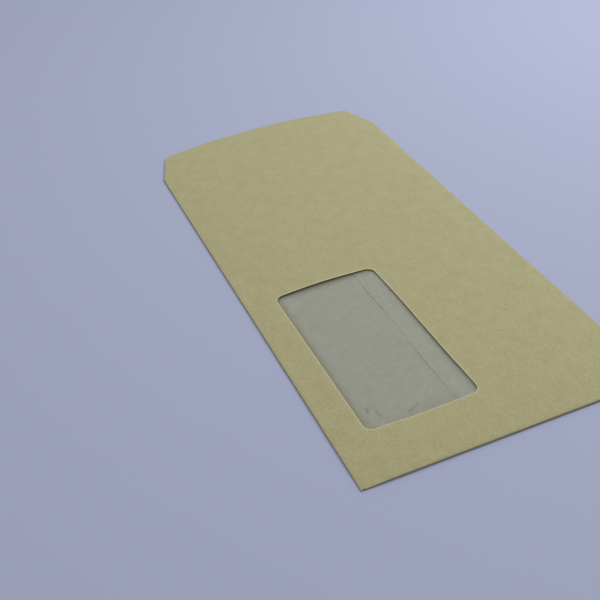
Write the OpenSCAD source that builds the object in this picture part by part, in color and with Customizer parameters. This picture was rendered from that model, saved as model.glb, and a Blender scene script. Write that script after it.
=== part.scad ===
// Window envelope of kraft paper, lying empty on its back with the seal flap open
// X runs across it, Y along it towards the seal flap, and Z up from the table

/* [Body] */
// Width between the two side folds
body_w = 120; // [90:1:240]
// Length from the bottom fold to the root of the seal flap
body_l = 235; // [160:1:340]
// Height of the empty envelope above the table
lying_h = 1; // [0.8:0.1:2]

/* [Paper] */
// Thickness of the kraft paper
paper_t = 0.12; // [0.08:0.01:0.2]
// Run over which the paper comes down past an edge that it lies on
settle_run = 3; // [1:0.5:6]

/* [Seal flap] */
// Length of the open seal flap past the body, at the tips of its curved edge
flap_l = 21.5; // [12:0.5:60]
// How much further the middle of that edge reaches
flap_bow = 6.2; // [1:0.1:15]
// How far each side of the seal flap tapers in
flap_taper = 7; // [2:0.5:20]

/* [Back] */
// Distance from the left fold to the edge of the inner back panel
seam_x = 50.5; // [20:0.5:60]
// Width of the glued overlap of the two back panels
seam_w = 12; // [6:0.5:20]
// How far the back panels stop short of the seal flap
throat_drop = 5; // [2:0.5:20]
// Length of the bottom flap glued up over the back
bottom_flap_l = 19; // [10:0.5:40]
// How far each side of the bottom flap tapers in
bottom_flap_taper = 12; // [2:0.5:20]
// Distance from each side of the body to the root of the bottom flap
bottom_flap_gap = 1.5; // [1:0.1:5]

/* [Window] */
// Width of the window
window_w = 46; // [20:0.5:60]
// Length of the window
window_len = 90; // [30:0.5:110]
// Distance from the left fold to the window
window_side = 13.5; // [12:0.5:40]
// Distance from the bottom fold to the window
window_bottom = 23.5; // [14:0.5:40]
// Corner radius of the window
window_r = 3.5; // [1:0.5:9]

/* [Film] */
// Thickness of the glassine film
film_t = 0.04; // [0.02:0.01:0.06]
// Glued margin of film around the window
film_margin = 8; // [4:0.5:10]

/* [Hidden] */

paper_colour = "#a8a47e";
film_colour = "#bfc1b6";

// Flat steps in the half turn of a fold
fold_steps = 8;
fold_r = lying_h / 2;

left_x = -body_w / 2;
right_x = body_w / 2;
bottom_y = -(body_l + flap_l + flap_bow) / 2;
crease_y = bottom_y + body_l;
tip_y = crease_y + flap_l;
far_y = tip_y + flap_bow;

// The flat paper lies between the curves of the folds
flat_left_x = left_x + fold_r;
flat_right_x = right_x - fold_r;
flat_bottom_y = bottom_y + fold_r;
tip_x = flat_right_x - flap_taper;

inner_edge_x = left_x + seam_x;
outer_edge_x = inner_edge_x + seam_w;
bottom_flap_y = bottom_y + bottom_flap_l;

// Places along the back, and how high the bottom flap holds the back panels at each of them
back_y = [flat_bottom_y, bottom_flap_y, bottom_flap_y + settle_run, crease_y];
back_y_lift = [paper_t, paper_t, 0, 0];

// Run of the front that each fold is drawn with, so that the paper is unbroken
shared_run = 2;

// A length of cut that passes right through whatever it is taken from
through = 2 * lying_h;

// Where point i, j of the first or second face comes in a sheet's list of points
function at(face, i, j, rows, cols) = (face * rows + i) * cols + j;

// The two triangles of a four-cornered face
function halves(a, b, c, d) = [[a, b, c], [a, c, d]];

// Paper between two faces, each given as the same grid of points
module sheet(outside, inside) {
    rows = len(outside);
    cols = len(outside[0]);
    m = rows - 1;
    n = cols - 1;
    skins = [for (i = [0:m - 1], j = [0:n - 1]) each concat(
        halves(at(0, i, j, rows, cols), at(0, i + 1, j, rows, cols),
               at(0, i + 1, j + 1, rows, cols), at(0, i, j + 1, rows, cols)),
        halves(at(1, i, j, rows, cols), at(1, i, j + 1, rows, cols),
               at(1, i + 1, j + 1, rows, cols), at(1, i + 1, j, rows, cols)))];
    side_edges = [for (j = [0:n - 1]) each concat(
        halves(at(0, 0, j, rows, cols), at(0, 0, j + 1, rows, cols),
               at(1, 0, j + 1, rows, cols), at(1, 0, j, rows, cols)),
        halves(at(0, m, j, rows, cols), at(1, m, j, rows, cols),
               at(1, m, j + 1, rows, cols), at(0, m, j + 1, rows, cols)))];
    end_edges = [for (i = [0:m - 1]) each concat(
        halves(at(0, i, 0, rows, cols), at(1, i, 0, rows, cols),
               at(1, i + 1, 0, rows, cols), at(0, i + 1, 0, rows, cols)),
        halves(at(0, i, n, rows, cols), at(0, i + 1, n, rows, cols),
               at(1, i + 1, n, rows, cols), at(1, i, n, rows, cols)))];
    polyhedron(
        points = [for (grid = [outside, inside]) for (row = grid) for (p = row) p],
        faces = concat(skins, side_edges, end_edges));
}

// Points round a fold on its way down from the front, without those where it meets flat paper
function fold_arc(flat_edge, lift, depth) = [for (i = [1:fold_steps - 1])
    let (turn = 90 - 180 * i / fold_steps, half_h = (lying_h - lift) / 2)
    [flat_edge - (fold_r - depth) * cos(turn), lift + half_h + (half_h - depth) * sin(turn)]];

// Paper from the front, round a side fold and on across the back, drawn for the left side
// back_x gives places across the back panel and back_x_lift what it lies on at each of them
module side_wrap(back_x, back_x_lift) {
    function section(lift, depth) = concat(
        [[flat_left_x + shared_run, lying_h - depth], [flat_left_x, lying_h - depth]],
        fold_arc(flat_left_x, lift, depth),
        [[flat_left_x, lift + depth]],
        [for (i = [0:len(back_x) - 1]) [back_x[i], lift + back_x_lift[i] + depth]]);
    function skin(depth) = [for (i = [0:fold_steps + 1 + len(back_x)])
        [for (j = [0:len(back_y) - 1])
            let (p = section(back_y_lift[j], depth)[i]) [p[0], back_y[j], p[1]]]];
    sheet(skin(0), skin(paper_t));
}

module outer_panel() {
    side_wrap([outer_edge_x], [0]);
}

// The inner panel lies on the glued edge of the outer one and comes down beside it
module inner_panel() {
    mirror([1, 0, 0])
        side_wrap([-outer_edge_x - settle_run, -outer_edge_x, -inner_edge_x], [0, paper_t, paper_t]);
}

// Paper from the front, round the bottom fold and up over the back
module bottom_flap() {
    root = body_w / 2 - bottom_flap_gap;
    edge = root - bottom_flap_taper;
    function side(depth) = concat(
        [[flat_bottom_y + shared_run, lying_h - depth], [flat_bottom_y, lying_h - depth]],
        fold_arc(flat_bottom_y, 0, depth),
        [[flat_bottom_y, depth], [bottom_flap_y, depth]]);
    inner = side(paper_t);
    intersection() {
        rotate([90, 0, 90])
            linear_extrude(body_w, center = true)
                polygon(concat(side(0), [for (i = [len(inner) - 1:-1:0]) inner[i]]));
        translate([0, 0, -through])
            linear_extrude(2 * through)
                polygon([[-root, bottom_y - lying_h], [root, bottom_y - lying_h], [root, flat_bottom_y],
                         [edge, bottom_flap_y], [-edge, bottom_flap_y], [-root, flat_bottom_y]]);
    }
}

// Outline of the window, with its four round corners
module window_outline() {
    translate([left_x + window_side, bottom_y + window_bottom]) {
        for (x = [window_r, window_w - window_r], y = [window_r, window_len - window_r])
            translate([x, y])
                circle(window_r, $fn = 64);
        translate([window_r, 0])
            square([window_w - 2 * window_r, window_len]);
        translate([0, window_r])
            square([window_w, window_len - 2 * window_r]);
    }
}

// Points along the far edge of the seal flap, an arc from its right tip to its left one
function flap_edge(steps) =
    let (r = (pow(tip_x, 2) + pow(flap_bow, 2)) / (2 * flap_bow), half_turn = asin(tip_x / r))
    [for (i = [0:steps])
        let (turn = half_turn * (1 - 2 * i / steps))
        [r * sin(turn), far_y - r + r * cos(turn)]];

// The front is drawn downwards from the face, so that it and the folds have one face
module front_and_seal_flap() {
    translate([0, 0, lying_h])
        mirror([0, 0, 1])
            linear_extrude(paper_t)
                difference() {
                    polygon(concat([[flat_left_x, flat_bottom_y], [flat_right_x, flat_bottom_y],
                                    [flat_right_x, crease_y]],
                                   flap_edge(24),
                                   [[flat_left_x, crease_y]]));
                    window_outline();
                }
}

// Shape cut away at the mouth, slanting down from the crease beside each side fold
module throat_cut() {
    out = body_w / 2 + lying_h;
    in = body_w / 2 - throat_drop;
    mouth_y = crease_y - throat_drop;
    translate([0, 0, -through])
        linear_extrude(through + fold_r)
            polygon([[-out, crease_y], [-in, mouth_y], [in, mouth_y], [out, crease_y],
                     [out, far_y], [-out, far_y]]);
}

module folded_paper() {
    color(paper_colour) {
        front_and_seal_flap();
        bottom_flap();
        difference() {
            union() {
                outer_panel();
                inner_panel();
            }
            throat_cut();
        }
    }
}

module window_film() {
    color(film_colour)
        translate([left_x + window_side - film_margin, bottom_y + window_bottom - film_margin,
                   lying_h - paper_t - film_t])
            cube([window_w + 2 * film_margin, window_len + 2 * film_margin, film_t]);
}

folded_paper();
window_film();
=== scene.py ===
import math

import bmesh
import bpy
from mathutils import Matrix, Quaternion, Vector, noise


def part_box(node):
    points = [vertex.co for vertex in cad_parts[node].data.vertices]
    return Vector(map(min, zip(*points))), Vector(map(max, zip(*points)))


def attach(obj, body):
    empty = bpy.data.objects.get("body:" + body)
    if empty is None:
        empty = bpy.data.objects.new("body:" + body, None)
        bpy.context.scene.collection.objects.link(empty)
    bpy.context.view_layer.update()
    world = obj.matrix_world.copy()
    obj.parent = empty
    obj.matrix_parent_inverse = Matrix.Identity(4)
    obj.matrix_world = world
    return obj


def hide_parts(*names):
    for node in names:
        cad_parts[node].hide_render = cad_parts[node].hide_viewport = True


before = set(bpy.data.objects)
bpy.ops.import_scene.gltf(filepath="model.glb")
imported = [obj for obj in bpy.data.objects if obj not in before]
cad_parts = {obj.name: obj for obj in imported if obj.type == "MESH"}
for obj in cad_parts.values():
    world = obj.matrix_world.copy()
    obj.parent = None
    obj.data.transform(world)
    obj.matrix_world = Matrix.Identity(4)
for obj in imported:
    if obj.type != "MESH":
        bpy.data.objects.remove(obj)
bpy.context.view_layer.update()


# The folded sheet
# One die-cut sheet of buff kraft paper, folded round both sides and up at the bottom.
# It is glued down the back and under the bottom flap. The seal flap lies open.

MM = 0.001

# Its thickness, its flaps, the seam down the back, the throat and the corners of the window, and the
# margin of the film behind it, which tells where the window lies
PAPER_T = 0.12 * MM
BOTTOM_FLAP_L = 19 * MM
BOTTOM_FLAP_TAPER = 12 * MM
BOTTOM_FLAP_GAP = 1.5 * MM
SEAL_FLAP_L = 21.5 * MM
SEAL_FLAP_BOW = 6.2 * MM
SEAL_FLAP_TAPER = 7 * MM
TIP_R = 2 * MM
SEAM_X = 50.5 * MM
SEAM_W = 12 * MM
THROAT_DROP = 5 * MM
WINDOW_R = 3.5 * MM
FILM_MARGIN = 8 * MM

# How the empty envelope lies: pressed at its folds, a little fuller between them, and in a faint wave
# whose shape WAVE_PICK chooses
FULLNESS = 0.15 * MM
SIDE_DIP = 0.3 * MM
BOTTOM_DIP = 0.25 * MM
DIP_RUN = 14 * MM
ROLL_DIP = 0.12 * MM
ROLL_RUN = 1.5 * MM
TIP_DROOP = 0.15 * MM
WAVE = 0.07 * MM
WAVE_ACROSS = 45 * MM
WAVE_ALONG = 60 * MM
WAVE_PICK = 2.7

# How far the paper runs out in the half turn of a fold, and the steps that the turn is drawn in
FOLD_RUN = 0.34 * MM
FOLD_STEPS = 8

# The dried glue, how far past the bottom flap's edge the back is still held up, and the run over
# which paper comes down past an edge under it
GLUE_T = 0.005 * MM
FLAP_HOLD = 0.6 * MM
SETTLE_RUN = 3 * MM

# Width of the paper beside a cut that the cutting die pressed, and that a painted highlight makes paler
PRESS_RUN = 1.1 * MM

# The window's short edges bow outwards a little. Its right edge lies further out at its near end and
# further in at its far end. All this fades over EDGE_RUN away from the edges.
FAR_BOW_LEFT = 0.9 * MM
FAR_BOW_RIGHT = 0.6 * MM
NEAR_BOW = 0.55 * MM
RIGHT_OUT = 0.4 * MM
RIGHT_IN = 0.5 * MM
RIGHT_RUN = 28 * MM
EDGE_RUN = 9 * MM

# The front hangs a little at the window's far corners, and its cut edge is turned up between them
HANG = 0.22 * MM
LIP = 0.15 * MM
LIP_RUN = 1.8 * MM

# The inner panel's free edge, past its glue, is curled up here and there
CURL = 0.3 * MM
CURL_RUN = 4 * MM
CURL_LENGTH = 48 * MM
CURL_START = 46 * MM

# Its cut edge strays from a straight line, to the right round one place and a little to the left
# elsewhere
SEAM_STRAY = 0.75 * MM
SEAM_STRAY_LEFT = 0.3 * MM
SEAM_STRAY_AT = 75 * MM
SEAM_STRAY_RUN = 14 * MM

paper_low, paper_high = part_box("folded_paper")
film_low, film_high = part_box("window_film")
half_w = paper_high.x
top_z = paper_high.z
bottom_y = paper_low.y
crease_y = paper_high.y - SEAL_FLAP_L - SEAL_FLAP_BOW
flat_x = half_w - FOLD_RUN
flat_y = bottom_y + FOLD_RUN
root_x = half_w - BOTTOM_FLAP_GAP
bottom_flap_y = bottom_y + BOTTOM_FLAP_L
inner_edge_x = SEAM_X - half_w
outer_edge_x = inner_edge_x + SEAM_W
window_left = film_low.x + FILM_MARGIN
window_right = film_high.x - FILM_MARGIN
window_near = film_low.y + FILM_MARGIN
window_far = film_high.y - FILM_MARGIN
window_middle = (window_left + window_right) / 2
window_half = (window_right - window_left) / 2


def ease(t):
    """A smooth step from 0 to 1."""
    t = min(max(t, 0.0), 1.0)
    return t * t * (3 - 2 * t)


def bell(t):
    """A smooth bump of height 1 round 0."""
    return math.exp(-t * t)


def between_corners(x):
    """1 along the window's short edges, and 0 past its corners."""
    inward = min(x - window_left, window_right - x)
    return ease((inward + WINDOW_R / 2) / (2 * WINDOW_R))


def far_pull(x):
    """How far the window's far edge is drawn in, which is most towards its ends."""
    off_middle = abs(x - window_middle)
    bow = FAR_BOW_LEFT if x < window_middle else FAR_BOW_RIGHT
    return bow * ease(off_middle / window_half) * bell(max(off_middle - window_half, 0) / EDGE_RUN)


def front_z(x, y):
    """Height of the middle of the front's paper."""
    to_side, to_bottom = half_w - abs(x), y - bottom_y
    side = SIDE_DIP * (1 - ease(to_side / DIP_RUN)) + ROLL_DIP * max(1 - to_side / ROLL_RUN, 0) ** 2
    near = BOTTOM_DIP * (1 - ease(to_bottom / DIP_RUN)) + ROLL_DIP * max(1 - to_bottom / ROLL_RUN, 0) ** 2
    inside = ease(to_side / DIP_RUN) * ease(to_bottom / DIP_RUN)
    wave = WAVE * inside * noise.noise(Vector((x / WAVE_ACROSS, y / WAVE_ALONG, WAVE_PICK)))
    droop = TIP_DROOP * max((y - crease_y) / (SEAL_FLAP_L + SEAL_FLAP_BOW), 0) ** 2
    corner = bell((x - window_left) / EDGE_RUN) + bell((x - window_right) / EDGE_RUN)
    hang = HANG * corner * bell((y - window_far) / (2 * EDGE_RUN))
    off_lip = abs(y - window_far + far_pull(x))
    lip = LIP * max(1 - off_lip / LIP_RUN, 0) ** 2 * between_corners(x)
    return top_z + FULLNESS - PAPER_T / 2 - side - near - droop - hang + lip + wave


def bottom_flap_lift(y):
    """How high the bottom flap holds the back panels."""
    return (PAPER_T + GLUE_T) * (1 - ease((y - bottom_flap_y - FLAP_HOLD) / SETTLE_RUN))


def curl(y):
    """How far the inner panel's free edge is curled up."""
    along = (y - bottom_y - CURL_START) / CURL_LENGTH
    return CURL * (0.5 + 0.5 * math.cos(2 * math.pi * along))


def seam_shift(y):
    """How far the inner panel's free edge is to the right of its straight line."""
    return SEAM_STRAY * bell((y - bottom_y - SEAM_STRAY_AT) / SEAM_STRAY_RUN) - SEAM_STRAY_LEFT


def back_z(x, y, inner):
    """Height of the middle of a back panel's paper, which lies on what is under it."""
    z = PAPER_T / 2 + bottom_flap_lift(y)
    if inner:
        z += (PAPER_T + GLUE_T) * (1 - ease((x - outer_edge_x) / SETTLE_RUN))
        z += curl(y) * (1 - ease((x - inner_edge_x) / CURL_RUN))
    return z


def ticks(start, *stops):
    """Places from start on, where each stop is a place and the steps that lead to it."""
    places = [start]
    for place, steps in stops:
        last = places[-1]
        places += [last * (1 - i / steps) + place * (i / steps) for i in range(1, steps + 1)]
    return places


def bridge(bm, rings):
    """Faces between each list of points and the next."""
    for a, b in zip(rings, rings[1:]):
        for i in range(len(a) - 1):
            bm.faces.new((a[i], a[i + 1], b[i + 1], b[i]))


def half_turn(upper, lower):
    """How far out and how high the points of a fold are, between its upper and lower paper."""
    middle, rise = (upper + lower) / 2, (upper - lower) / 2
    for i in range(1, FOLD_STEPS):
        turn = math.pi * (0.5 - i / FOLD_STEPS)
        yield (FOLD_RUN - PAPER_T / 2) * math.cos(turn), middle + rise * math.sin(turn)


def front_point(x, y):
    """A point of the front, moved a little so that the window's edges aren't quite straight."""
    near_push = NEAR_BOW * (1 - ease(abs(x - window_middle) / window_half))
    moved_y = (y - near_push * bell((y - window_near) / EDGE_RUN)
               - far_pull(x) * bell((y - window_far) / EDGE_RUN))
    slant = (RIGHT_OUT * (1 - ease((y - window_near) / RIGHT_RUN))
             - RIGHT_IN * (1 - ease((window_far - y) / RIGHT_RUN)))
    moved_x = x + slant * bell((x - window_right) / EDGE_RUN) * ease((half_w - x) / (2 * EDGE_RUN))
    return moved_x, moved_y, front_z(moved_x, moved_y)


def throat_y(x, y):
    """The same place along a back panel whose far edge stops short at the throat."""
    short = min(THROAT_DROP, half_w - abs(x))
    return flat_y + (y - flat_y) * (crease_y - short - flat_y) / (crease_y - flat_y)


def off_window(x, y):
    """How far a place of the front is from the window's edge. Inside it that falls to -WINDOW_R."""
    x = abs(x - window_middle) - window_half + WINDOW_R
    y = abs(y - (window_near + window_far) / 2) - (window_far - window_near) / 2 + WINDOW_R
    return math.hypot(max(x, 0), max(y, 0)) - WINDOW_R


bm = bmesh.new()
pressed_and_highlight = bm.verts.layers.float.new("pressed_and_highlight")


def add_vert(x, y, z, gap=PRESS_RUN):
    """A corner of the sheet's faces, and how near it is to a cut, where pressing and a painted highlight
    pale the paper.
    """
    v = bm.verts.new((x, y, z))
    v[pressed_and_highlight] = 1 - min(gap / PRESS_RUN, 1)
    return v


def add_front_vert(x, y):
    """A corner of the front's faces."""
    return add_vert(*front_point(x, y), off_window(x, y))


# Steps along each leg of a round corner of the window
CORNER_STEPS = 6

columns = ticks(-flat_x, (-root_x, 2), (window_left - PRESS_RUN, 5), (window_left, 1),
                (window_left + WINDOW_R, CORNER_STEPS), (window_right - WINDOW_R, 14),
                (window_right, CORNER_STEPS), (window_right + PRESS_RUN, 1), (root_x, 20), (flat_x, 2))
rows = ticks(flat_y, (flat_y + PRESS_RUN, 1), (bottom_flap_y, 12), (window_near - PRESS_RUN, 4),
             (window_near, 1), (window_near + WINDOW_R, CORNER_STEPS), (window_far - WINDOW_R, 28),
             (window_far, CORNER_STEPS), (window_far + LIP_RUN, 4), (crease_y, 40))
front = [[add_front_vert(x, y) for y in rows] for x in columns]

# The front's faces, with the window left open
left, right = columns.index(window_left), columns.index(window_right)
near, far = rows.index(window_near), rows.index(window_far)
for i in range(len(columns) - 1):
    for j in range(len(rows) - 1):
        if not (left <= i < right and near <= j < far):
            bm.faces.new((front[i][j], front[i + 1][j], front[i + 1][j + 1], front[i][j + 1]))

# The paper inside each round corner of the window
for i, j, di, dj in ((left, near, 1, 1), (right, near, -1, 1), (right, far, -1, -1), (left, far, 1, -1)):
    square = [front[i + k * di][j] for k in range(CORNER_STEPS, 0, -1)]
    square += [front[i][j + k * dj] for k in range(CORNER_STEPS + 1)]
    centre = Vector((columns[i] + di * WINDOW_R, rows[j] + dj * WINDOW_R))
    arc = [square[0]]
    for k in range(1, 2 * CORNER_STEPS):
        turn = math.pi / 2 * k / (2 * CORNER_STEPS)
        arc.append(add_front_vert(centre.x - di * WINDOW_R * math.sin(turn),
                                  centre.y - dj * WINDOW_R * math.cos(turn)))
    arc.append(square[-1])
    for k in range(2 * CORNER_STEPS):
        corners = [square[k], square[k + 1], arc[k + 1], arc[k]]
        bm.faces.new([v for n, v in enumerate(corners) if v not in corners[:n]])

# The side folds and the back panels, which end at the throat. Beside the root of the bottom flap
# they and the front are cut right on the line of the bottom fold, and inside it they stop short.
cut_y = bottom_y + PAPER_T / 2
for side, edge, inner in ((-1, outer_edge_x, False), (1, inner_edge_x, True)):
    ring = front[0] if side < 0 else front[-1]
    ring[0].co.y = cut_y
    along = [cut_y] + rows[1:]
    rings = [ring]
    folds = [list(half_turn(v.co.z, back_z(side * half_w, y, inner)))
             for v, y in zip(ring, rows)]
    for k in range(FOLD_STEPS - 1):
        row = []
        for fold, y in zip(folds, along):
            x = side * (flat_x + fold[k][0])
            row.append(add_vert(x, throat_y(x, y) if k >= FOLD_STEPS // 2 else y, fold[k][1]))
        rings.append(row)
    if inner:
        across = ticks(flat_x, (root_x, 1), (outer_edge_x + SETTLE_RUN, 16), (outer_edge_x, 6),
                       (edge + CURL_RUN, 3), (edge + PRESS_RUN, 5), (edge, 1))
    else:
        across = ticks(-flat_x, (-root_x, 1), (inner_edge_x, 16), (edge - PRESS_RUN, 4), (edge, 1))
    for x in across:
        askew = max((outer_edge_x - x) / SEAM_W, 0) if inner else 0
        places = [(x + askew * seam_shift(y), throat_y(x, y)) for y in (along if abs(x) > root_x else rows)]
        rings.append([add_vert(px, py, back_z(x, py, inner), min(abs(x - edge), crease_y - y))
                      for (px, py), y in zip(places, rows)])
    bridge(bm, rings)

# The bottom fold and the bottom flap, whose root is a little narrower than the front
first, last = columns.index(-root_x), columns.index(root_x)
root = [front[i][0] for i in range(first, last + 1)]
rings = [root]
folds = [list(half_turn(v.co.z, PAPER_T / 2)) for v in root]
for k in range(FOLD_STEPS - 1):
    rings.append([add_vert(v.co.x, flat_y - fold[k][0], fold[k][1]) for v, fold in zip(root, folds)])
for y in ticks(flat_y, (bottom_flap_y - PRESS_RUN, 8), (bottom_flap_y, 1)):
    narrowing = 1 - BOTTOM_FLAP_TAPER / root_x * (y - flat_y) / (bottom_flap_y - flat_y)
    rings.append([add_vert(v.co.x * narrowing, y, PAPER_T / 2,
                           min(bottom_flap_y - y, root_x - abs(v.co.x))) for v in root])
bridge(bm, rings)

# The seal flap, with straight tapered sides, its far edge in an arc and its tips rounded
tip_x = flat_x - SEAL_FLAP_TAPER
tip_y = crease_y + SEAL_FLAP_L
edge_r = (tip_x**2 + SEAL_FLAP_BOW**2) / (2 * SEAL_FLAP_BOW)
side_out = Vector((SEAL_FLAP_L, SEAL_FLAP_TAPER)).normalized()
far_out = Vector((tip_x, edge_r - SEAL_FLAP_BOW)).normalized()
tip_middle = Vector((tip_x, tip_y)) - (side_out + far_out) * TIP_R / (1 + side_out.dot(far_out))


def flap_point(x, part):
    """A point of the seal flap, a part of the way from the front's column at x to the far edge."""
    end_x = abs(x) * tip_x / flat_x
    end_y = paper_high.y - edge_r + math.sqrt(edge_r**2 - end_x**2)
    place = Vector((abs(x), crease_y)).lerp(Vector((end_x, end_y)), part)
    away = place - tip_middle
    if away.length > TIP_R and side_out.cross(away) > 0 and away.cross(far_out) > 0:
        place = tip_middle + away.normalized() * TIP_R
    return math.copysign(place.x, x), place.y


rings = [[column[-1] for column in front]]
for part in ticks(0, (0.9, 9), (1, 6))[1:]:
    places = [flap_point(x, part) for x in columns]
    rings.append([add_vert(x, y, front_z(x, y)) for x, y in places])
bridge(bm, rings)
bmesh.ops.recalc_face_normals(bm, faces=bm.faces)


def linear(code):
    """Scene linear colour of an sRGB hex code."""
    parts = [int(code[i:i + 2], 16) / 255 for i in (1, 3, 5)]
    return (*[c / 12.92 if c <= 0.04045 else ((c + 0.055) / 1.055) ** 2.4 for c in parts], 1.0)


def add_node(tree, kind, settings=(), **inputs):
    """Adds a node, sets its properties, and sets or links its inputs by name or number."""
    node = tree.nodes.new(kind)
    for name, value in dict(settings).items():
        setattr(node, name, value)
    for name, value in inputs.items():
        socket = node.inputs[int(name[1:]) if name[0] == "_" else name.replace("_", " ")]
        if isinstance(value, bpy.types.NodeSocket):
            tree.links.new(value, socket)
        else:
            socket.default_value = value
    return node


def new_material(name):
    """A material with a bare principled shader, its tree and its output already joined."""
    material = bpy.data.materials.new(name)
    material.use_nodes = True
    return material, material.node_tree, material.node_tree.nodes["Principled BSDF"]


# Machine-finished kraft pulp: matt, warm buff, with a faint cloudy formation and fine grain along
# the sheet. Its fibres are drawn about 0.1 mm wide, three times as coarse as real ones, so that
# they show. Along a cut it is a little paler: the die has pressed the fibres, and a painted highlight
# stands for the light that the cut's rim catches.
CLOUD_SIZE = 6 * MM
SPECKLE_SIZE = 1.1 * MM
GRAIN_ACROSS = 0.6 * MM
GRAIN_ALONG = 9 * MM
FIBRE_BEND = 1.3 * MM

# Half a fibre's width in the noise that draws it, how much it covers the pulp and how it stands up
FIBRE_EDGE = 0.045
FIBRE_COVER = 0.42
FIBRE_RISE = 1.5

# Shares of the grain and the cloud in the pulp's tone, and the tones at which it is darkest and palest
GRAIN_SHARE = 0.35
CLOUD_SHARE = 0.45
DARKEST = 0.65
PALEST = 1.15

# Pressing below which the paper by a cut isn't paler, and how pale it is at most, painted highlight
# included
PRESSED_FROM = 0.2
PRESSED_MOST = 0.6

BUMP_HEIGHT = 0.02 * MM
CELLULOSE_IOR = 1.47


def kraft_paper(name, dark, pale, fibre_colour, pressed_highlight_colour):
    """Kraft paper between a dark and a pale shade of pulp."""
    material, tree, shader = new_material(name)
    place = add_node(tree, "ShaderNodeTexCoord").outputs["Object"]
    cloud = add_node(tree, "ShaderNodeTexNoise", Vector=place, Scale=1 / CLOUD_SIZE, Detail=2.0)
    speckle = add_node(tree, "ShaderNodeTexNoise", Vector=place, Scale=1 / SPECKLE_SIZE, Detail=2.0,
                       Roughness=0.65)
    stretched = add_node(tree, "ShaderNodeMapping", Vector=place,
                         Scale=(1 / GRAIN_ACROSS, 1 / GRAIN_ALONG, 1 / GRAIN_ACROSS))
    grain = add_node(tree, "ShaderNodeTexNoise", Vector=stretched.outputs[0], Scale=1.0, Detail=3.0)
    curly = add_node(tree, "ShaderNodeTexNoise", Vector=place, Scale=1 / FIBRE_BEND, Detail=1.5,
                     Distortion=1.2)
    middle = add_node(tree, "ShaderNodeMath", {"operation": "SUBTRACT"}, _0=curly.outputs["Fac"], _1=0.5)
    line = add_node(tree, "ShaderNodeMath", {"operation": "ABSOLUTE"}, _0=middle.outputs[0])
    fibre = add_node(tree, "ShaderNodeMapRange", Value=line.outputs[0], From_Min=0.0,
                     From_Max=FIBRE_EDGE, To_Min=FIBRE_COVER, To_Max=0.0)
    fine = add_node(tree, "ShaderNodeMath", {"operation": "MULTIPLY_ADD"}, _0=grain.outputs["Fac"],
                    _1=GRAIN_SHARE, _2=speckle.outputs["Fac"])
    tone = add_node(tree, "ShaderNodeMath", {"operation": "MULTIPLY_ADD"}, _0=cloud.outputs["Fac"],
                    _1=CLOUD_SHARE, _2=fine.outputs[0])
    mottle = add_node(tree, "ShaderNodeMapRange", Value=tone.outputs[0], From_Min=DARKEST,
                      From_Max=PALEST)
    pulp = add_node(tree, "ShaderNodeMix", {"data_type": "RGBA"}, Factor=mottle.outputs[0],
                    _6=linear(dark), _7=linear(pale))
    paper = add_node(tree, "ShaderNodeMix", {"data_type": "RGBA"}, Factor=fibre.outputs[0],
                     _6=pulp.outputs[2], _7=linear(fibre_colour))
    # Paler by a cut: partly the die's pressed fibres, partly a painted highlight
    by_cut = add_node(tree, "ShaderNodeAttribute", {"attribute_name": "pressed_and_highlight"})
    cut_highlight_share = add_node(tree, "ShaderNodeMapRange", Value=by_cut.outputs["Fac"], From_Min=PRESSED_FROM,
                   To_Max=PRESSED_MOST)
    with_cut_highlight = add_node(tree, "ShaderNodeMix", {"data_type": "RGBA"}, Factor=cut_highlight_share.outputs[0],
                      _6=paper.outputs[2], _7=linear(pressed_highlight_colour))
    height = add_node(tree, "ShaderNodeMath", {"operation": "MULTIPLY_ADD"}, _0=fibre.outputs[0],
                      _1=FIBRE_RISE, _2=fine.outputs[0])
    bump = add_node(tree, "ShaderNodeBump", Strength=0.5, Distance=BUMP_HEIGHT, Height=height.outputs[0])
    tree.links.new(with_cut_highlight.outputs[2], shader.inputs["Base Color"])
    tree.links.new(bump.outputs[0], shader.inputs["Normal"])
    shader.inputs["Roughness"].default_value = 0.82
    shader.inputs["IOR"].default_value = CELLULOSE_IOR
    return material


CRISP_ANGLE = math.radians(40)


def thicken(bm, name, thickness, face_material, edge_material):
    """Makes a mesh of paper's middle surface and gives it its thickness, with crisp cut edges."""
    mesh = bpy.data.meshes.new(name)
    bm.to_mesh(mesh)
    bm.free()
    sheet = bpy.data.objects.new(name, mesh)
    bpy.context.scene.collection.objects.link(sheet)
    solid = sheet.modifiers.new("Thickness", "SOLIDIFY")
    solid.thickness = thickness
    solid.offset = 0
    solid.use_even_offset = True
    solid.material_offset_rim = 1
    bpy.context.view_layer.update()
    made = sheet.evaluated_get(bpy.context.evaluated_depsgraph_get())
    sheet.data = bpy.data.meshes.new_from_object(made)
    sheet.modifiers.clear()
    bpy.data.meshes.remove(mesh)
    sheet.data.name = name
    for material in (face_material, edge_material):
        sheet.data.materials.append(material)
    edged = bmesh.new()
    edged.from_mesh(sheet.data)
    for face in edged.faces:
        face.smooth = True
    for edge in edged.edges:
        edge.smooth = edge.is_manifold and edge.calc_face_angle() < CRISP_ANGLE
    edged.to_mesh(sheet.data)
    edged.free()
    return sheet


# A cut edge is raw pulp, a little paler than the finished faces
kraft = kraft_paper("buff kraft paper", dark="#9b966c", pale="#aaa57b", fibre_colour="#b6b089",
                    pressed_highlight_colour="#c6be96")
kraft_edge = kraft_paper("cut edge of kraft paper", dark="#a39b70", pale="#b3ac84",
                         fibre_colour="#bdb793", pressed_highlight_colour="#b3ac84")
envelope = thicken(bm, "folded_sheet", PAPER_T, kraft, kraft_edge)
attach(envelope, "root")
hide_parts("folded_paper")


# The window film
# A patch of milky glassine, glued to the inside of the front by a band round its edge.
# Inside the band it hangs slack, so that it lies below the cut edge of the window.

FILM_T = 0.04 * MM

# The glued band, and the run over which the film then becomes slack
FILM_BAND = 5.5 * MM
SLACK_RUN = 4.5 * MM

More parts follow.
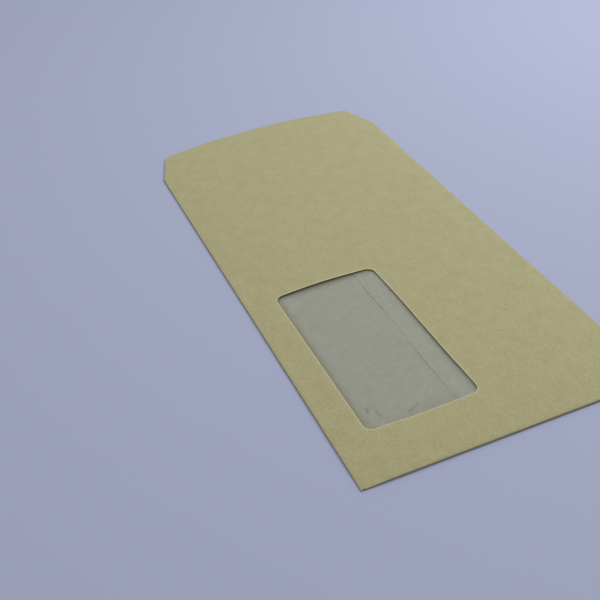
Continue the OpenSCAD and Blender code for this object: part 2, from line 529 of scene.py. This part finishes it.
# At the far side the band reaches to this far from the window's edge, and the film slopes down from it
FAR_GLUED = 2.3 * MM
FAR_SLOPE_RUN = 5.4 * MM

# Height at which the slack film hangs, in a faint wave whose shape FILM_WAVE_PICK chooses
HANG_Z = 0.6 * MM
FILM_WAVE = 0.03 * MM
FILM_WAVE_ACROSS = 20 * MM
FILM_WAVE_ALONG = 30 * MM
FILM_WAVE_PICK = 8.3

# How far the film sags next to the window's far edge, at the end of that edge where the inner panel
# is under it, and next to the right edge
FAR_SAG = 0.4 * MM
FAR_SAG_OVER_INNER = 0.28 * MM
RIGHT_SAG = 0.24 * MM
SAG_RUN = 9 * MM

# How far from the far edge the sag keeps its depth, and how far to the left of the inner panel the
# panel begins to hold it up
FAR_SAG_KEEPS = 2.7 * MM
INNER_REACH = 9.9 * MM

# How far in from the window's edges the painted shade reaches, how much there is at the right and near
# edges for each part at the left and far ones, the run over which it gets less, and how fast it fades
SHADE_REACH = 4.2 * MM
SHADE_ELSEWHERE = 0.3
SHADE_LESS_RUN = 7 * MM
SHADE_FADES = 1.5

# Step in the film where it lies over the edge of the inner panel, its share where that edge isn't
# curled, its run, how far to the left of the edge it begins, and the run over which it fades in
# from the window's edges
STEP = 0.11 * MM
STEP_UNCURLED = 0.3
STEP_RUN = 0.7 * MM
STEP_LEAD = 0.56 * MM
STEP_FADE = 2 * MM

# Wrinkles pressed into the film along the window's near edge and by its near left corner: depth,
# half width, and the way each runs, in mm from the left and the bottom fold
WRINKLES = (
    (0.34 * MM, 0.7 * MM, ((18.3, 33.6), (18.1, 32.6))),
    (0.1 * MM, 0.5 * MM, ((23.7, 41.6), (21.7, 37.8), (19.2, 33.6))),
    (0.16 * MM, 0.55 * MM, ((21.1, 33.7), (20.7, 31.2), (20.9, 29.3), (21.6, 27.8))),
    (0.24 * MM, 0.5 * MM, ((31.2, 25.8), (33.5, 26.9), (36.0, 28.0))),
    (0.24 * MM, 0.6 * MM, ((50.2, 25.6), (50.3, 24.6))),
)
DEEPEST_WRINKLE = max(deep for deep, wide, path in WRINKLES)

# A pucker at the window's near edge: the film is creased along this curve, in the same mm, and
# slopes down from it to the edge. Painted shade makes it a little darker there.
PUCKER = ((28, 23.5), (31, 25.6), (34, 27.1), (37, 28.3), (41, 29), (45, 29.4), (48, 28.6), (49.5, 27.2),
          (50.2, 23.5))
PUCKER_SLOPE = 0.035
PUCKER_SHADE = 0.15
PUCKER_EDGE = 0.6 * MM


def off_path(place, path):
    """How far a place is from a path of straight lines."""
    gaps = []
    for a, b in zip(path, path[1:]):
        along = min(max((place - a).dot(b - a) / (b - a).length_squared, 0), 1)
        gaps.append((place - a.lerp(b, along)).length)
    return min(gaps)


def on_face(path):
    """Places on the envelope of a path given in mm from its left and bottom folds."""
    return [Vector((x * MM - half_w, y * MM + bottom_y)) for x, y in path]


wrinkles = [(deep, wide, on_face(path)) for deep, wide, path in WRINKLES]
pucker = on_face(PUCKER)


def into_pucker(x, y):
    """How far a place of the film is below the curve along which it is puckered."""
    for a, b in zip(pucker, pucker[1:]):
        if a.x <= x < b.x:
            return max(a.y + (b.y - a.y) * (x - a.x) / (b.x - a.x) - y, 0)
    return 0


def film_z(x, y):
    """Height of the middle of the film."""
    inward = min(x - film_low.x, film_high.x - x, y - film_low.y)
    # Height of the film in its band glued to the front
    glued = front_z(x, y) - (PAPER_T + FILM_T) / 2 - GLUE_T
    slack = ease((inward - FILM_BAND) / SLACK_RUN) * ease((window_far + FAR_GLUED - y) / FAR_SLOPE_RUN)
    over_inner = ease((x - inner_edge_x + INNER_REACH) / SAG_RUN)
    far_sag = FAR_SAG + (FAR_SAG_OVER_INNER - FAR_SAG) * over_inner
    hang = HANG_Z - max(far_sag * (1 - ease((window_far - y - FAR_SAG_KEEPS) / SAG_RUN)),
                        RIGHT_SAG * (1 - ease((window_right - x) / SAG_RUN)))
    hang += FILM_WAVE * noise.noise(Vector((x / FILM_WAVE_ACROSS, y / FILM_WAVE_ALONG, FILM_WAVE_PICK)))
    curled = STEP_UNCURLED + (1 - STEP_UNCURLED) * curl(y) / CURL
    step = STEP * curled * ease((inward - FILM_MARGIN) / STEP_FADE)
    hang += step * (ease((x - inner_edge_x - seam_shift(y) + STEP_LEAD) / STEP_RUN) - 0.5)
    hang -= PUCKER_SLOPE * into_pucker(x, y)
    for deep, wide, path in wrinkles:
        hang -= deep * bell(off_path(Vector((x, y)), path) / wide)
    return glued + (hang - glued) * slack


# The film's faces, which are small where it is wrinkled and where it steps up over the inner panel
WRINKLED_RUN = 18 * MM
bm = bmesh.new()
film_columns = ticks(film_low.x, (film_low.x + FILM_BAND, 2), (window_left, 6),
                     (inner_edge_x - 2 * STEP_RUN, 118), (inner_edge_x + 2 * STEP_RUN, 20),
                     (window_right, 14), (film_high.x - FILM_BAND, 6), (film_high.x, 2))
film_rows = ticks(film_low.y, (film_low.y + FILM_BAND, 2), (window_near, 6),
                  (window_near + WRINKLED_RUN, 72), (window_far - SAG_RUN, 50),
                  (window_far + FAR_GLUED, 24), (film_high.y, 5))
bridge(bm, [[bm.verts.new((x, y, film_z(x, y))) for y in film_rows] for x in film_columns])
bmesh.ops.recalc_face_normals(bm, faces=bm.faces)

# Painted shade on the film: how much by the window's edges, and how much in a wrinkle or the pucker
glued = bm.verts.layers.float.new("glued")
crease_shade = bm.verts.layers.float.new("crease_shade")
for v in bm.verts:
    v[crease_shade] = PUCKER_SHADE * ease(into_pucker(v.co.x, v.co.y) / PUCKER_EDGE)
    # Painted shade in a wrinkle grows with its depth
    for deep, wide, path in wrinkles:
        v[crease_shade] = max(v[crease_shade], deep / DEEPEST_WRINKLE * bell(off_path(v.co.xy, path) / wide))
    # Painted shade is strongest by the window's left and far edges
    off_shaded_edges = min(v.co.x - window_left, window_far - v.co.y)
    most = 1 + (SHADE_ELSEWHERE - 1) * ease(off_shaded_edges / SHADE_LESS_RUN)
    v[glued] = most * (1 - ease(-off_window(v.co.x, v.co.y) / SHADE_REACH)) ** SHADE_FADES

# Glassine: wood pulp beaten until it is nearly clear, then calendered. It lets about half of the
# light straight through, scatters the rest as a cool grey white, and has a soft sheen. Fine clouds
# of less beaten pulp make it milky. Painted shade darkens it by the window's edges, most at the left
# and far ones, and in its wrinkles and pucker.
MILK_SIZE = 2.5 * MM
RIPPLE_HEIGHT = 0.03 * MM
glassine, tree, shader = new_material("milky glassine")
place = add_node(tree, "ShaderNodeTexCoord").outputs["Object"]
cloud = add_node(tree, "ShaderNodeTexNoise", Vector=place, Scale=1 / MILK_SIZE, Detail=4.0)
milk = add_node(tree, "ShaderNodeMix", {"data_type": "RGBA"}, Factor=cloud.outputs["Fac"],
                _6=linear("#9ba099"), _7=linear("#bfc4be"))
# Painted shade in the wrinkles and the pucker
crease_shading = add_node(tree, "ShaderNodeAttribute", {"attribute_name": "crease_shade"})
with_crease_shade = add_node(tree, "ShaderNodeMix", {"data_type": "RGBA"}, Factor=crease_shading.outputs["Fac"],
                  _6=milk.outputs[2], _7=linear("#8f948c"))
# Painted shade by the window's edges, strongest at the left and far ones
glue = add_node(tree, "ShaderNodeAttribute", {"attribute_name": "glued"})
edge_shaded = add_node(tree, "ShaderNodeMix", {"data_type": "RGBA"}, Factor=glue.outputs["Fac"],
                 _6=with_crease_shade.outputs[2], _7=linear("#8a8871"))
ripple = add_node(tree, "ShaderNodeBump", Strength=0.2, Distance=RIPPLE_HEIGHT,
                  Height=cloud.outputs["Fac"])
tree.links.new(edge_shaded.outputs[2], shader.inputs["Base Color"])
tree.links.new(ripple.outputs[0], shader.inputs["Normal"])
shader.inputs["Alpha"].default_value = 0.33
shader.inputs["Roughness"].default_value = 0.55
shader.inputs["IOR"].default_value = CELLULOSE_IOR

film = thicken(bm, "glassine_film", FILM_T, glassine, glassine)
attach(film, "root")
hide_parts("window_film")


# The floor
# A plain pale surface that fills the view, so that the envelope lies on it with its shadow.
# Its far part, out of the lamp's reach, is paler, so that it looks the same as the near part.

FLOOR_HALF = 5.0
FLOOR_COLOUR = "#a7adc7"
FAR_COLOUR = "#c4cbe9"
# How far from the middle the far colour begins, and how far from it there is nothing else, in m
FAR_FROM = 0.4
FAR_FULL = 1.6

bm = bmesh.new()
bmesh.ops.create_grid(bm, x_segments=8, y_segments=8, size=FLOOR_HALF)
floor_mesh = bpy.data.meshes.new("floor")
bm.to_mesh(floor_mesh)
bm.free()
floor = bpy.data.objects.new("floor", floor_mesh)
bpy.context.scene.collection.objects.link(floor)

# A painted table top, so matt that it shows no gloss
pale, tree, shader = new_material("pale table top")
place = add_node(tree, "ShaderNodeTexCoord").outputs["Object"]
off_middle = add_node(tree, "ShaderNodeVectorMath", {"operation": "LENGTH"}, _0=place)
far_part = add_node(tree, "ShaderNodeMapRange", Value=off_middle.outputs["Value"], From_Min=FAR_FROM,
                    From_Max=FAR_FULL)
table = add_node(tree, "ShaderNodeMix", {"data_type": "RGBA"}, Factor=far_part.outputs[0],
                 _6=linear(FLOOR_COLOUR), _7=linear(FAR_COLOUR))
tree.links.new(table.outputs[2], shader.inputs["Base Color"])
shader.inputs["Roughness"].default_value = 0.95
shader.inputs["Specular IOR Level"].default_value = 0.2
floor.data.materials.append(pale)


# The light
# Soft daylight from behind on the right, a soft lamp nearer by on the right, and an even room.
# Together they light the middle of the part at strength 1, so colours show as they are written.

DAYLIGHT_FROM = Vector((0.28, 0.84, 0.46))
DAYLIGHT = 1.85
DAYLIGHT_SPREAD = math.radians(80)
LAMP_AT = Vector((0.43, 0.13, 0.45))
LAMP_SIDE = 0.3
LAMP_POWER = 1.66
ROOM = 0.39
# What is seen of the room past the edge of the floor has the floor's own shade there
ROOM_SEEN = 0.7

daylight = bpy.data.lights.new("daylight", "SUN")
daylight.energy = DAYLIGHT
daylight.angle = DAYLIGHT_SPREAD
lamp = bpy.data.lights.new("soft lamp", "AREA")
lamp.size = LAMP_SIDE
lamp.energy = LAMP_POWER
for light, place in ((daylight, DAYLIGHT_FROM), (lamp, LAMP_AT)):
    light_object = bpy.data.objects.new(light.name, light)
    light_object.location = place
    light_object.rotation_mode = "QUATERNION"
    light_object.rotation_quaternion = (-place).to_track_quat("-Z", "Y")
    bpy.context.scene.collection.objects.link(light_object)

world = bpy.data.worlds.new("even room")
world.use_nodes = True
tree = world.node_tree
tree.nodes.clear()
ray = add_node(tree, "ShaderNodeLightPath")
glossy = add_node(tree, "ShaderNodeMath", {"operation": "MAXIMUM"}, _0=ray.outputs["Is Camera Ray"],
                  _1=ray.outputs["Is Glossy Ray"])
seen = add_node(tree, "ShaderNodeMath", {"operation": "MAXIMUM"}, _0=glossy.outputs[0],
                _1=ray.outputs["Is Transmission Ray"])
room = add_node(tree, "ShaderNodeBackground", Color=(1, 1, 1, 1), Strength=ROOM)
backdrop = add_node(tree, "ShaderNodeBackground", Color=linear(FAR_COLOUR), Strength=ROOM_SEEN)
both = add_node(tree, "ShaderNodeMixShader", _0=seen.outputs[0], _1=room.outputs[0],
                _2=backdrop.outputs[0])
add_node(tree, "ShaderNodeOutputWorld", Surface=both.outputs[0])
bpy.context.scene.world = world
bpy.context.scene.view_settings.view_transform = "Standard"


# The camera
# Fitted to the corners and edges of the envelope and its window in the photograph.
# It stands at the near left of the envelope and looks down along it.

CAMERA_AT = Vector((-0.14597, -0.33442, 0.24777))
CAMERA_AIM = Vector((-0.03721, -0.02386, 0.0))
CAMERA_ROLL = math.radians(-5.641)
CAMERA_LENS = 58.55

camera = bpy.data.cameras.new("camera")
camera.lens = CAMERA_LENS
camera.clip_start = 0.01
camera_object = bpy.data.objects.new("camera", camera)
camera_object.location = CAMERA_AT
camera_object.rotation_mode = "QUATERNION"
camera_object.rotation_quaternion = (
    (CAMERA_AIM - CAMERA_AT).to_track_quat("-Z", "Y") @ Quaternion((0, 0, 1), CAMERA_ROLL))
bpy.context.scene.collection.objects.link(camera_object)
bpy.context.scene.camera = camera_object
